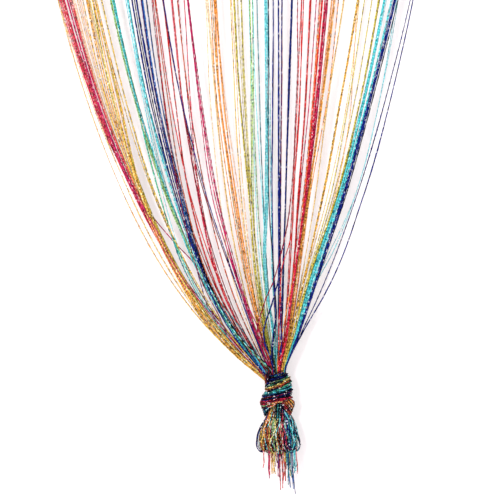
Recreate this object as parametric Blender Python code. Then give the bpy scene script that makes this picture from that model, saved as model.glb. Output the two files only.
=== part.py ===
# String curtain, knotted: a flat heading tape, the hanging strings and their knot with its tail.
# Lengths are in metres. +Z is up, the front faces -Y, and the origin is the centre of the top edge.
import math

import bpy
import bmesh
import numpy as np
from mathutils import Vector

NAME = "knotted_string_curtain"

# Sizes that drive the part.
HEADING_WIDTH = 0.900
HEADING_HEIGHT = 0.050
HEADING_THICK = 0.0026
HEADING_ROUND = 0.0006
PARTING = 0.0003            # between the heading and the strip of the strings
STRIP_HEIGHT = 0.004
STRIP_THICK = 0.0026
ROOT_DEPTH = 0.0018         # how far a string reaches up into the strip
STRING_INSET = 0.012        # from the heading's ends to the outer strings
STRING_RADIUS = 0.00078
TAIL_RADIUS = 0.00072

# The tables below use steps of one unit, counted from the middle of the knot's top.
UNIT = 0.0014
FAN_HEIGHT = 1307.0         # strip down to the knot's top
TABLE_TOP = 376.0           # height of the first column of STRING_ROWS
KNOT_SIDE = 46.7            # the knot hangs this far to the right of the heading's middle
REACH_LEFT = 80.0           # how soon the outer left and right strings swing out
REACH_RIGHT = 240.0
TABLE_LEFT = -220.0
TABLE_RIGHT = 136.0
ENTRY_LEFT = -12.5          # strings meet the knot between these two
ENTRY_RIGHT = 11.0
ENTRY_TILT = 0.325          # the knot's top rises to the right
ENTRY_LIFT = 1.13           # the strings end this far over its middle
DENSITY = 0.75              # share of the strings of the table that get a solid

# Strings, a row for each bunch from left to right.
# count, spread, then the sideways place at heights 376, 276, 176 and 76 over the knot
STRING_ROWS = (
    (2, 1.2, -220.0, -219.5, -218.0, -220.0),   # pale gold, outermost
    (1, 0.0, -214.0, -213.0, -211.0, -217.0),   # pale gold
    (4, 3.2, -216.0, -212.0, -205.0, -200.0),   # red
    (3, 2.4, -212.5, -208.5, -203.5, -198.5),   # red-pink
    (3, 2.0, -209.5, -205.5, -201.5, -197.5),   # magenta
    (3, 3.4, -206.5, -206.5, -204.5, -204.5),   # salmon
    (2, 3.0, -202.0, -201.0, -199.5, -201.0),   # peach
    (3, 2.4, -194.0, -196.0, -200.5, -207.5),   # orange
    (2, 3.0, -191.0, -193.0, -197.0, -204.0),   # thin gold
    (3, 2.2, -186.5, -189.5, -197.5, -202.0),   # olive gold
    (2, 2.6, -182.0, -180.5, -180.0, -180.0),   # olive
    (3, 3.0, -176.5, -177.0, -177.0, -178.0),   # gold
    (3, 2.0, -167.0, -164.5, -161.5, -157.0),   # lime
    (2, 1.6, -164.0, -167.5, -173.0, -186.0),   # turquoise, goes left
    (3, 2.4, -162.5, -162.5, -163.0, -164.0),   # green
    (1, 0.0, -153.5, -156.0, -161.0, -166.0),   # pale turquoise
    (3, 2.2, -151.5, -151.5, -152.0, -153.5),   # turquoise
    (3, 2.2, -145.0, -147.5, -149.5, -149.5),   # navy
    (2, 1.8, -140.5, -144.0, -147.0, -148.0),   # navy
    (3, 2.8, -137.5, -140.5, -144.0, -146.0),   # navy
    (1, 0.0, -132.0, -135.0, -141.0, -145.0),   # navy
    (1, 0.0, -125.5, -132.0, -143.0, -147.0),   # red
    (1, 0.0, -123.0, -125.5, -130.0, -133.0),   # red
    (2, 1.2, -115.5, -120.5, -132.0, -143.0),   # red
    (2, 1.0, -114.0, -111.8, -107.5, -100.0),   # dark navy, crosses to the right
    (3, 2.4, -107.5, -112.5, -120.0, -141.0),   # pink red
    (3, 2.8, -106.5, -113.0, -116.0, -131.0),   # salmon red
    (1, 0.0, -99.5, -105.0, -117.0, -130.0),    # magenta
    (1, 0.0, -93.5, -103.8, -118.5, -132.0),    # magenta
    (4, 3.0, -90.0, -91.0, -93.0, -91.5),       # magenta
    (1, 0.0, -73.5, -80.0, -89.0, -103.0),      # pale gold
    (3, 2.6, -70.5, -71.5, -77.5, -83.0),       # brown gold
    (4, 3.2, -67.0, -67.5, -67.5, -68.5),       # orange
    (3, 2.6, -63.5, -64.0, -65.0, -66.0),       # orange
    (2, 1.8, -48.0, -50.2, -57.0, -63.0),       # pale olive
    (4, 3.0, -44.5, -42.8, -43.7, -50.0),       # olive
    (2, 1.6, -41.5, -41.5, -46.0, -57.0),       # grey olive, goes left
    (3, 3.4, -38.5, -40.0, -41.5, -45.5),       # olive
    (2, 1.4, -27.2, -30.0, -38.0, -46.0),       # yellow green
    (1, 0.0, -26.0, -29.5, -31.5, -34.0),       # pale teal
    (2, 1.6, -24.5, -24.5, -24.2, -26.0),       # pale turquoise
    (2, 1.4, -20.5, -21.3, -23.0, -25.0),       # pale turquoise
    (3, 2.2, -13.2, -14.0, -17.5, -27.0),       # turquoise
    (3, 2.2, -10.8, -13.0, -18.0, -25.0),       # turquoise
    (2, 1.2, -9.4, -9.3, -8.5, -9.0),           # pale turquoise
    (2, 1.0, -4.0, -5.7, -8.7, -12.0),          # purple navy
    (2, 1.0, 0.7, 1.0, 0.5, 0.0),               # navy
    (2, 1.0, 4.5, 4.0, 3.5, 2.5),               # grey navy
    (4, 2.4, 14.3, 13.2, 12.0, 11.0),           # navy
    (2, 1.6, 20.5, 23.0, 22.0, 26.0),           # red
    (3, 2.8, 25.0, 23.5, 20.5, 28.0),           # red
    (4, 3.2, 32.5, 32.5, 32.0, 34.5),           # red
    (2, 1.2, 38.5, 37.0, 35.0, 34.0),           # pink
    (3, 2.2, 41.2, 41.0, 40.0, 34.5),           # crimson
    (4, 2.8, 47.5, 46.5, 42.5, 37.0),           # magenta
    (2, 1.6, 49.8, 45.5, 41.5, 35.0),           # salmon
    (4, 2.6, 57.2, 52.8, 48.5, 40.5),           # orange
    (2, 1.2, 60.6, 59.6, 50.5, 43.0),           # gold
    (2, 1.4, 66.3, 61.0, 59.7, 55.5),           # pale gold
    (3, 2.2, 80.0, 76.0, 71.5, 64.0),           # gold
    (2, 1.2, 82.2, 85.5, 80.0, 66.5),           # olive
    (1, 0.0, 86.8, 86.2, 83.0, 68.0),           # olive
    (1, 0.0, 81.0, 89.5, 88.0, 76.0),           # peach
    (2, 1.4, 94.6, 93.2, 88.5, 77.0),           # pale olive
    (4, 2.6, 101.0, 100.3, 94.0, 71.0),         # olive gold
    (2, 1.6, 99.6, 99.3, 92.5, 73.0),           # yellow
    (5, 3.4, 107.3, 103.3, 97.0, 81.0),         # turquoise
    (2, 1.6, 113.2, 107.6, 99.5, 83.5),         # turquoise
    (5, 3.0, 117.0, 111.3, 103.5, 93.0),        # navy
    (2, 1.4, 121.4, 115.6, 107.0, 95.0),        # navy
    (1, 0.0, 120.0, 124.5, 124.0, 92.0),        # pale turquoise
    (1, 0.0, 133.5, 130.7, 126.5, 111.0),       # navy
    (1, 0.0, 135.0, 136.8, 137.6, 128.5),       # navy, outermost
)

STRING_HEIGHTS = (1307.0, 790.0, 376.0, 255.0, 170.0, 105.0, 58.0, 24.0)
DEPTH_ROWS = 12
DEPTH_PITCH = 1.45
CLEAR = 0.0020              # least sideways pitch of two strings of one depth row

# Wraps of the knot, a row for each turn from the top down. The last one passes low behind the tail.
# side, drop, half_width, half_depth, tilt and rake in degrees, thickness
WRAP_ROWS = (
    (0.0, 2.5, 9.2, 8.6, 18.0, 0.0, 2.7),
    (0.6, 7.3, 10.8, 9.8, 17.0, -4.0, 2.8),
    (1.0, 12.0, 12.0, 10.6, 15.0, 3.0, 2.9),
    (0.8, 16.8, 13.0, 11.2, 12.0, -3.0, 2.9),
    (0.3, 21.5, 13.6, 11.6, 9.0, 2.0, 2.9),
    (0.0, 26.2, 13.7, 11.4, 5.0, -4.0, 2.9),
    (0.4, 33.0, 12.8, 10.8, -4.0, -24.0, 3.4),
)
WRAP_STEPS = 22
CORE = (0.4, 15.5, 13.0, 11.2, 16.5)    # side, drop, half width, half depth, half height
CORE_LEAN = (0.30, 0.0)                 # how far the core's top and bottom rise to the right

# Tail, a row for each level: drop, side, half_width, half_depth.
TAIL_ROWS = (
    (26.0, 1.0, 8.0, 7.0),
    (37.0, 1.4, 11.0, 8.8),
    (46.0, 2.2, 15.5, 10.8),
    (56.0, 1.2, 20.0, 12.6),
    (65.0, 0.8, 21.7, 13.4),
    (72.0, 1.4, 20.2, 12.2),
    (77.0, 2.2, 16.6, 9.6),
    (117.0, 2.6, 17.6, 10.8),
)
TAIL_COUNT = 74
LOOSE_EVERY = 14            # of this many strands, the next number hang below the loops
LOOSE_NUMBER = 5
# The loose ends' reach, from the left side to the right.
LOOSE_SIDES = (-17.0, -8.0, 4.0, 17.0)
LOOSE_DROPS = (93.0, 102.0, 112.5, 116.5)


def plain_material(name, colour, rough):
    material = bpy.data.materials.new(name)
    material.use_nodes = True
    shader = material.node_tree.nodes["Principled BSDF"]
    shader.inputs["Base Color"].default_value = (*colour, 1.0)
    shader.inputs["Roughness"].default_value = rough
    return material


def finish(thing, material, collection):
    for holder in list(thing.users_collection):
        holder.objects.unlink(thing)
    collection.objects.link(thing)
    thing.data.materials.clear()
    thing.data.materials.append(material)


def box(name, low, high):
    bpy.ops.mesh.primitive_cube_add(size=1.0)
    thing = bpy.context.object
    thing.name = name
    low, high = Vector(low), Vector(high)
    for vertex in thing.data.vertices:
        spot = vertex.co + Vector((0.5, 0.5, 0.5))
        vertex.co = Vector([low[k] + spot[k] * (high[k] - low[k]) for k in range(3)])
    return thing


def bevel_ring(radius, sides):
    # Small closed outline that the strands are swept with.
    outline = bpy.data.curves.new("outline", "CURVE")
    outline.dimensions = "2D"
    spline = outline.splines.new("POLY")
    spline.points.add(sides - 1)
    for k in range(sides):
        turn = 2.0 * math.pi * (k + 0.25) / sides
        spline.points[k].co = (radius * math.cos(turn), radius * math.sin(turn), 0.0, 1.0)
    spline.use_cyclic_u = True
    thing = bpy.data.objects.new("outline", outline)
    bpy.context.scene.collection.objects.link(thing)
    return thing


def swept(name, paths, radius, sides, closed=False):
    # One mesh with a capped tube along every path.
    curve = bpy.data.curves.new(name, "CURVE")
    curve.dimensions = "3D"
    curve.bevel_mode = "OBJECT"
    outline = bevel_ring(radius, sides)
    curve.bevel_object = outline
    curve.use_fill_caps = True
    for path in paths:
        spline = curve.splines.new("POLY")
        spline.points.add(len(path) - 1)
        for point, spot in zip(spline.points, path):
            point.co = (*spot, 1.0)
        spline.use_cyclic_u = closed
    holder = bpy.data.objects.new(name, curve)
    bpy.context.scene.collection.objects.link(holder)
    bpy.context.view_layer.update()
    graph = bpy.context.evaluated_depsgraph_get()
    mesh = bpy.data.meshes.new_from_object(holder.evaluated_get(graph))
    bpy.data.objects.remove(holder)
    bpy.data.objects.remove(outline)
    tidy = bmesh.new()
    tidy.from_mesh(mesh)
    bmesh.ops.remove_doubles(tidy, verts=tidy.verts, dist=0.00001)
    bmesh.ops.recalc_face_normals(tidy, faces=tidy.faces)
    tidy.to_mesh(mesh)
    tidy.free()
    thing = bpy.data.objects.new(name, mesh)
    bpy.context.scene.collection.objects.link(thing)
    return thing


def union(thing, other):
    tool = thing.modifiers.new("join", "BOOLEAN")
    tool.operation = "UNION"
    tool.solver = "EXACT"
    tool.object = other
    bpy.ops.object.select_all(action="DESELECT")
    bpy.context.view_layer.objects.active = thing
    thing.select_set(True)
    bpy.ops.object.modifier_apply(modifier=tool.name)
    bpy.data.objects.remove(other)


def keep_outer_skin(thing):
    # Fills the small hollows that the joined turns leave inside, by removing their inner skins.
    work = bmesh.new()
    work.from_mesh(thing.data)
    unseen = set(work.verts)
    skins = []
    while unseen:
        skin = [unseen.pop()]
        for vertex in skin:
            for edge in vertex.link_edges:
                other = edge.other_vert(vertex)
                if other in unseen:
                    unseen.remove(other)
                    skin.append(other)
        skins.append(skin)
    skins.sort(key=len)
    for skin in skins[:-1]:
        bmesh.ops.delete(work, geom=skin, context="VERTS")
    work.to_mesh(thing.data)
    work.free()


def world(side, depth, height):
    # From units about the knot's top to metres about the heading's top edge.
    top = -(HEADING_HEIGHT + PARTING + STRIP_HEIGHT) - FAN_HEIGHT * UNIT
    return ((side + KNOT_SIDE) * UNIT, depth * UNIT, top + height * UNIT)


def swing(height, place):
    # Share of its sideways travel that a string has made at a height over the knot.
    reach = np.interp(place, [TABLE_LEFT, TABLE_RIGHT], [REACH_LEFT, REACH_RIGHT])
    return np.log1p(height / reach) / np.log1p(TABLE_TOP / reach)


def string_tracks():
    tracks = []
    for count, spread, *places in STRING_ROWS:
        copies = max(1, round(count * DENSITY))
        for k in range(copies):
            shift = spread * ((k + 0.5) / copies - 0.5)
            tracks.append([place + shift for place in places])
    return np.array(tracks)


def sideways(tracks):
    # Sideways place of every string at every height, in units.
    count = len(tracks)
    steps = np.arange(count) / (count - 1.0)
    entry = np.empty(count)
    entry[np.argsort(tracks[:, 3])] = ENTRY_LEFT + (ENTRY_RIGHT - ENTRY_LEFT) * steps
    half = (HEADING_WIDTH / 2.0 - STRING_INSET) / UNIT
    heading = np.empty(count)
    heading[np.argsort(tracks[:, 0])] = 2.0 * half * steps - half - KNOT_SIDE
    knees = [TABLE_TOP - 300.0, TABLE_TOP - 200.0, TABLE_TOP - 100.0, TABLE_TOP]
    places = np.empty((count, len(STRING_HEIGHTS)))
    for i in range(count):
        free = entry[i] + (tracks[i, 0] - entry[i]) * swing(FAN_HEIGHT, tracks[i, 0])
        for k, height in enumerate(STRING_HEIGHTS):
            place = np.interp(height, knees, tracks[i, ::-1])
            rise = max(0.0, height - TABLE_TOP) / (FAN_HEIGHT - TABLE_TOP)
            spot = entry[i] + (place - entry[i]) * swing(height, place)
            places[i, k] = spot + (heading[i] - free) * rise * rise * (3.0 - 2.0 * rise)
    return places, entry


def depth_rows(places, entry):
    # Each string gets the depth row where it keeps furthest from its neighbours.
    rows = [[] for _ in range(DEPTH_ROWS)]
    levels = np.column_stack([places, entry]) * UNIT
    chosen = {}
    for i in np.argsort(entry):
        best, best_room = None, CLEAR
        for row, members in enumerate(rows):
            room = 1.0
            for other in members:
                apart = levels[i] - levels[other]
                same_side = bool(np.all(apart > 0.0) or np.all(apart < 0.0))
                room = min(room, float(np.min(np.abs(apart))) if same_side else 0.0)
            if room > best_room:
                best, best_room = row, room
        if best is not None:
            rows[best].append(i)
            chosen[int(i)] = (best * 5 % DEPTH_ROWS - (DEPTH_ROWS - 1) / 2.0) * DEPTH_PITCH
    return chosen


def string_paths():
    tracks = string_tracks()
    places, entry = sideways(tracks)
    paths = []
    chosen = depth_rows(places, entry)
    for i, depth in sorted(chosen.items()):
        root = world(places[i, 0], 0.0, FAN_HEIGHT)
        path = [(root[0], root[1], root[2] + ROOT_DEPTH)]
        for place, height in zip(places[i], STRING_HEIGHTS):
            if height < FAN_HEIGHT:
                path.append(world(place, depth * (1.0 - height / FAN_HEIGHT), height))
        path.append(world(entry[i], depth, ENTRY_LIFT + ENTRY_TILT * entry[i]))
        paths.append(path)
    return paths


def build_heading(collection):
    half = HEADING_WIDTH / 2.0
    deep = HEADING_THICK / 2.0
    heading = box("heading", (-half, -deep, -HEADING_HEIGHT), (half, deep, 0.0))
    work = bmesh.new()
    work.from_mesh(heading.data)
    long_edges = [e for e in work.edges if abs(e.verts[0].co.x - e.verts[1].co.x) > half]
    bmesh.ops.bevel(work, geom=long_edges, offset=HEADING_ROUND, segments=2, affect="EDGES", profile=0.5)
    work.to_mesh(heading.data)
    work.free()
    finish(heading, plain_material("heading_cloth", (0.72, 0.60, 0.42), 0.85), collection)


def build_strings(collection):
    half = HEADING_WIDTH / 2.0 - STRING_INSET * 0.5
    deep = STRIP_THICK / 2.0
    top = -(HEADING_HEIGHT + PARTING)
    strip = box("strings", (-half, -deep, top - STRIP_HEIGHT), (half, deep, top))
    union(strip, swept("strands", string_paths(), STRING_RADIUS, 3))
    finish(strip, plain_material("string_yarn", (0.62, 0.30, 0.34), 0.55), collection)


def wrap_path(side, drop, half_width, half_depth, tilt, rake):
    lean = math.tan(math.radians(tilt))
    back = math.tan(math.radians(rake))
    path = []
    for k in range(WRAP_STEPS):
        turn = 2.0 * math.pi * k / WRAP_STEPS
        across = half_width * math.cos(turn)
        depth = half_depth * math.sin(turn)
        path.append(world(side + across, depth, across * lean + depth * back - drop))
    return path


def tail_paths():
    levels = np.array(TAIL_ROWS)
    paths = []
    for k in range(TAIL_COUNT):
        out = math.sqrt((k + 0.5) / TAIL_COUNT)
        turn = k * math.pi * (3.0 - math.sqrt(5.0))
        share = ((k * 7) % 11) / 10.0
        last = 76.0 + 4.0 * share
        if (k * 5) % LOOSE_EVERY < LOOSE_NUMBER:
            reach = np.interp(17.0 * out * math.cos(turn), LOOSE_SIDES, LOOSE_DROPS)
            last = reach - (reach - 86.0) * 0.7 * share
        drops = [drop for drop in levels[:, 0] if drop < last - 2.0] + [last]
        path = []
        for drop in drops:
            side, half_width, half_depth = [np.interp(drop, levels[:, 0], levels[:, c]) for c in (1, 2, 3)]
            across = side + out * half_width * math.cos(turn)
            path.append(world(across, out * half_depth * math.sin(turn), -drop))
        paths.append(path)
    return paths


def build_knot(collection):
    bpy.ops.mesh.primitive_uv_sphere_add(segments=16, ring_count=10, radius=1.0)
    knot = bpy.context.object
    knot.name = "knot"
    side, drop, half_width, half_depth, half_height = CORE
    for vertex in knot.data.vertices:
        spot = vertex.co
        fill = max(0.0, 1.0 - spot.z * spot.z) ** -0.25 if abs(spot.z) < 0.999 else 1.0
        across = spot.x * fill * half_width
        lean = np.interp(spot.z, [-1.0, 1.0], [CORE_LEAN[1], CORE_LEAN[0]])
        height = spot.z * half_height - drop + across * lean
        vertex.co = world(side + across, spot.y * fill * half_depth, height)
    for *turn, thick in WRAP_ROWS:
        union(knot, swept("wrap", [wrap_path(*turn)], thick * UNIT, 6, closed=True))
    union(knot, swept("tail", tail_paths(), TAIL_RADIUS, 3))
    keep_outer_skin(knot)
    finish(knot, plain_material("knot_yarn", (0.34, 0.26, 0.36), 0.55), collection)


def main():
    for thing in list(bpy.data.objects):
        bpy.data.objects.remove(thing)
    collection = bpy.data.collections.new(NAME)
    bpy.context.scene.collection.children.link(collection)
    build_heading(collection)
    build_strings(collection)
    build_knot(collection)


main()
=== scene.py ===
import math
import random

import bpy
import numpy as np
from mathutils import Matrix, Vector


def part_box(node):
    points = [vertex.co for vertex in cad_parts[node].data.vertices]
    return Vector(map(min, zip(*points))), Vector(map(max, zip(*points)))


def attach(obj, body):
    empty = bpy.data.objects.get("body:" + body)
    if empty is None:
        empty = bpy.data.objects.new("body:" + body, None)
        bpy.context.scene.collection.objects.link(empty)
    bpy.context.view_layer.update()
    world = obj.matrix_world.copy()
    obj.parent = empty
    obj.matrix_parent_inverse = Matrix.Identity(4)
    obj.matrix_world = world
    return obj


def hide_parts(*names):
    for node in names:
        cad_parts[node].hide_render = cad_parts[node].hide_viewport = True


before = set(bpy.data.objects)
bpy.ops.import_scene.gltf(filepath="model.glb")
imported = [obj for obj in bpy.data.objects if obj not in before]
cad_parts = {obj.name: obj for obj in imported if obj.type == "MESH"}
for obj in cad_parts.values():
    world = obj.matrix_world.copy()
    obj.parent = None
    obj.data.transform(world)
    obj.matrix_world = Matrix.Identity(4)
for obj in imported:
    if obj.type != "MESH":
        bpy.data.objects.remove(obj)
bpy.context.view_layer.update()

headingLow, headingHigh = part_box("heading")
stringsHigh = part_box("strings")[1]
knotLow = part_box("knot")[0]

# The knotted string curtain. Metres, +Z up, front towards -Y, origin at the middle of the top edge.
# The tables count in steps of one unit from the middle of the knot's top, which is where the CAD has it.
curtain = {
    "unit": 0.0014,
    "stripHeight": 0.004,      # woven edge that the strings hang from
    "rootShare": 0.3,          # of it, under its top, where each string begins
    "fanHeight": 1307.0,       # strip down to the knot's top
    "tableTop": 376.0,         # highest height in the table of strings
    "knotSide": 46.7,          # the knot hangs this far to the right of the heading's middle
    "stringInset": 0.012,
}
unit = curtain["unit"]
fanHeight = curtain["fanHeight"]
tableTop = curtain["tableTop"]
knotTop = stringsHigh[2] - curtain["stripHeight"] - fanHeight * unit
knotPlace = np.array([curtain["knotSide"] * unit, 0.0, knotTop])


def place(spots):
    # units (side, depth, height) to metres
    return np.asarray(spots, dtype=float) * unit + knotPlace


# Colours and yarn
yarnColours = {
    # body, then shade, as seen on the yarn (0 to 255)
    "paleGold": ((246, 204, 120), (198, 144, 62)),
    "gold": ((230, 184, 62), (156, 112, 22)),
    "amber": ((238, 168, 50), (172, 102, 18)),
    "orange": ((242, 150, 48), (180, 92, 20)),
    "peach": ((244, 176, 104), (204, 124, 56)),
    "salmon": ((210, 84, 80), (146, 36, 42)),
    "red": ((204, 30, 28), (132, 8, 14)),
    "pinkRed": ((212, 52, 84), (146, 22, 50)),
    "crimson": ((196, 12, 62), (124, 2, 36)),
    "magenta": ((192, 16, 92), (124, 4, 56)),
    "rust": ((186, 78, 30), (100, 32, 12)),
    "maroon": ((124, 18, 38), (60, 6, 20)),
    "purple": ((74, 34, 104), (30, 8, 52)),
    "navy": ((12, 32, 122), (3, 8, 62)),
    "night": ((8, 13, 46), (2, 3, 22)),
    "greyNavy": ((64, 90, 142), (24, 38, 88)),
    "blue": ((24, 98, 172), (6, 44, 112)),
    "teal": ((22, 136, 146), (4, 72, 90)),
    "turquoise": ((70, 206, 212), (20, 144, 160)),
    "paleTurquoise": ((122, 222, 230), (70, 180, 194)),
    "green": ((70, 176, 132), (26, 108, 80)),
    "sage": ((136, 184, 118), (72, 114, 62)),
    "lime": ((168, 198, 70), (100, 132, 34)),
    "olive": ((194, 178, 50), (126, 110, 16)),
    "paleOlive": ((220, 204, 112), (158, 140, 54)),
}

paleYarns = ("paleGold", "peach", "paleTurquoise", "paleOlive")    # these show as finer, softer lines
paleDepth = 0.45               # and their dark specks on the strings are only this share as dark

# How the yarn looks in each part: the specks' length along a string and number beside each other
# round it, the shares of dark ones (painted dark reflections) and shining ones (painted highlights),
# how near to black the dark ones are, how far the body is greyed and dimmed, and how white the shining
# ones are. In the wraps the many near-black specks and the dimmed body are painted shade in the knot.
yarnLooks = {
    "string": (0.0022, 1.0, 0.2, 0.05, 0.76, 0.0, 1.0, 0.5),
    "wrap": (0.0019, 2.0, 0.46, 0.035, 0.98, 0.0, 0.74, 0.8),
    "tail": (0.0020, 2.0, 0.4, 0.08, 0.98, 0.0, 1.06, 0.8),
    "end": (0.0024, 1.0, 0.24, 0.08, 0.6, 0.08, 0.84, 0.4),
    "braid": (0.0026, 2.0, 0.12, 0.08, 0.2, 0.0, 0.9, 0.4),
}


def linear(colour):
    steps = [value / 255.0 for value in colour]
    return tuple(s / 12.92 if s <= 0.04045 else ((s + 0.055) / 1.055) ** 2.4 for s in steps) + (1.0,)


def greyOf(tone):
    return 0.3 * tone[0] + 0.6 * tone[1] + 0.1 * tone[2]


def setInputs(tree, made, values):
    # an output is linked to its socket, and any other value is set on it
    for key, value in values.items():
        if isinstance(value, bpy.types.NodeSocket):
            tree.links.new(value, made.inputs[key])
        else:
            made.inputs[key].default_value = value


nodeGrid = {"columns": 8, "across": 220, "down": 260}


def addNode(tree, kind, values=None, **settings):
    made = tree.nodes.new(kind if kind.startswith("NodeGroup") else "ShaderNode" + kind)
    row, column = divmod(len(tree.nodes), nodeGrid["columns"])
    made.location = (nodeGrid["across"] * column, -nodeGrid["down"] * row)
    for name, value in settings.items():
        setattr(made, name, value)
    setInputs(tree, made, values or {})
    return made


def addMath(tree, operation, *values, clamp=False):
    return addNode(tree, "Math", dict(enumerate(values)), operation=operation, use_clamp=clamp).outputs[0]


def addMix(tree, factor, first, second, blend="MIX"):
    # 6, 7 and 2 are the node's sockets for colours
    return addNode(tree, "Mix", {0: factor, 6: first, 7: second}, data_type="RGBA",
                   blend_type=blend).outputs[2]


def newMaterial(name):
    made = bpy.data.materials.new(name)
    made.use_nodes = True
    return made, made.node_tree, made.node_tree.nodes["Principled BSDF"]


glitter = {
    "turns": 1.6,          # how far the specks climb for one turn about it
    "thread": 0.0041,      # pitch of the metal thread's twist
    "fluff": 900.0,        # scale of the fluff along a strand, and round it
    "fluffAround": 6.0,
    "fluffSeed": 61.0,     # these two make every strand's pattern its own
    "speckSeed": 917.0,
    "fluffGain": 3.0,      # how sharply the fluff parts the light tone from the body's
    "fluffLess": -0.9,
    "shares": (("Shade", 0.45), ("Deep", 0.85), ("Glint", 0.85)),   # of each tone, where it lies
    "toneLow": 0.88,       # brightness of a strand with tone 0,
    "toneSpread": 0.24,    # and how much brighter one with tone 1 is
    "rough": 0.62,
    "shineRough": -0.28,   # added where it shines
    "shineMetal": 0.3,
    "specular": 0.04,
    "relief": 0.0004,
}


def makeGlitterYarn():
    # Lurex yarn: short dark specks (painted dark reflections), shining specks (painted highlights, a
    # near-white colour that is also a little metallic and smoother), a twisted metal thread and fine fluff.
    group = bpy.data.node_groups.new("glitterYarn", "ShaderNodeTree")
    taken = {"Color": ("Light", "Body", "Shade", "Deep", "Glint"), "Vector": ("Strand",),
             "Float": ("Around", "Pitch", "Dark Share", "Glint Share", "Sectors")}
    given = {"Color": ("Colour",), "Float": ("Metal", "Roughness", "Height")}
    for flow, sockets in (("INPUT", taken), ("OUTPUT", given)):
        for kind, names in sockets.items():
            for name in names:
                group.interface.new_socket(name=name, in_out=flow, socket_type="NodeSocket" + kind)
    take = addNode(group, "NodeGroupInput").outputs
    around = take["Around"]
    along, seed, tone = addNode(group, "SeparateXYZ", {0: take["Strand"]}).outputs

    climb = addMath(group, "MULTIPLY", around, glitter["turns"])
    count = addMath(group, "DIVIDE", along, take["Pitch"])
    cell = addMath(group, "FLOOR", addMath(group, "ADD", count, climb))
    sector = addMath(group, "FLOOR", addMath(group, "MULTIPLY", around, take["Sectors"]))
    spot = addNode(group, "CombineXYZ", {
        0: cell, 1: sector, 2: addMath(group, "MULTIPLY", seed, glitter["speckSeed"])})
    noise = addNode(group, "TexWhiteNoise", {"Vector": spot.outputs[0]}, noise_dimensions="3D")
    chance = noise.outputs["Value"]
    # dark specks: painted dark reflections of the metal thread; where their share is high, as in the knot,
    # they are painted shade between the strands
    dark = addMath(group, "LESS_THAN", chance, take["Dark Share"])
    # shining specks: painted highlights, a near-white base colour, though also a little metallic and
    # smoother
    shine = addMath(group, "GREATER_THAN", chance, addMath(group, "SUBTRACT", 1.0, take["Glint Share"]))

    grain = addNode(group, "CombineXYZ", {0: addMath(group, "MULTIPLY", along, glitter["fluff"]),
                                          1: addMath(group, "MULTIPLY", around, glitter["fluffAround"]),
                                          2: addMath(group, "MULTIPLY", seed, glitter["fluffSeed"])})
    fluff = addNode(group, "TexNoise", {"Scale": 1.0, "Detail": 3.0, "Roughness": 0.6,
                                        "Vector": grain.outputs[0]}).outputs["Fac"]
    turn = addMath(group, "MULTIPLY_ADD", along, 1.0 / glitter["thread"], around)
    wave = addMath(group, "SINE", addMath(group, "MULTIPLY", turn, 2.0 * math.pi))
    thread = addMath(group, "MULTIPLY_ADD", wave, 0.5, 0.5)

    pale = addMath(group, "MULTIPLY_ADD", fluff, glitter["fluffGain"], glitter["fluffLess"], clamp=True)
    colour = addMix(group, pale, take["Light"], take["Body"])
    for mask, (shade, share) in zip((thread, dark, shine), glitter["shares"]):
        colour = addMix(group, addMath(group, "MULTIPLY", mask, share), colour, take[shade])
    # a strand's tone: brightness that differs at random, less the painted shade it was given
    bright = addMath(group, "MULTIPLY_ADD", tone, glitter["toneSpread"], glitter["toneLow"])
    grey = addNode(group, "CombineColor", {0: bright, 1: bright, 2: bright})
    addNode(group, "NodeGroupOutput", {
        "Colour": addMix(group, 1.0, colour, grey.outputs[0], blend="MULTIPLY"),
        "Metal": addMath(group, "MULTIPLY", shine, glitter["shineMetal"]),
        "Roughness": addMath(group, "MULTIPLY_ADD", shine, glitter["shineRough"], glitter["rough"]),
        "Height": addMath(group, "MULTIPLY_ADD", thread, 0.5, fluff),
    })
    return group


glitterYarn = makeGlitterYarn()


def yarnMaterial(name, colour, part):
    pitch, sectors, darkShare, glintShare, depth, greyed, dim, spark = yarnLooks[part]
    if part == "string" and colour in paleYarns:
        depth *= paleDepth
    made, tree, shader = newMaterial(name)
    toneAndShade = []
    for tone in [linear(values)[:3] for values in yarnColours[colour]]:
        grey = greyOf(tone)
        toneAndShade.append([dim * (value + greyed * (grey - value)) for value in tone])
    body, shade = toneAndShade
    # the paler the yarn, the whiter its light tone and its painted highlight
    lift = 0.3 * greyOf(body)
    light = [min(0.92, (1.0 - lift) * 1.35 * value + lift + 0.003) for value in body]
    deep = [(1.0 - depth) * value for value in shade]
    glint = [min(0.95, 0.6 * value + spark + lift) for value in body]
    strand = addNode(tree, "Attribute", attribute_name="strand")
    turned = addNode(tree, "UVMap", uv_map="UVMap")
    split = addNode(tree, "SeparateXYZ", {0: turned.outputs[0]})
    yarn = addNode(tree, "Group", {
        "Light": (*light, 1.0), "Body": (*body, 1.0), "Shade": (*shade, 1.0), "Deep": (*deep, 1.0),
        "Glint": (*glint, 1.0), "Strand": strand.outputs["Vector"], "Around": split.outputs[0],
        "Pitch": pitch, "Dark Share": darkShare, "Glint Share": glintShare, "Sectors": sectors,
    }, node_tree=glitterYarn).outputs
    bump = addNode(tree, "Bump", {"Strength": 0.5, "Distance": glitter["relief"], "Height": yarn["Height"]})
    setInputs(tree, shader, {"Base Color": yarn["Colour"], "Metallic": yarn["Metal"],
                             "Roughness": yarn["Roughness"], "Specular IOR Level": glitter["specular"],
                             "Normal": bump.outputs[0]})
    return made


# Strands
strandShape = {
    "width": 0.0018,           # of a strand's six-sided section
    "thick": 0.0013,
    "sides": 6,
    "merge": 0.00002,          # points closer than this become one
    "twist": (0.025, 0.060),   # least and most length of one turn of the section
    "widths": (0.9, 1.1),      # strands differ this much
    "shade": 1.6,              # how much a full painted shadow takes off a strand's tone
}


def clearSelection():
    bpy.ops.object.select_all(action="DESELECT")


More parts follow.
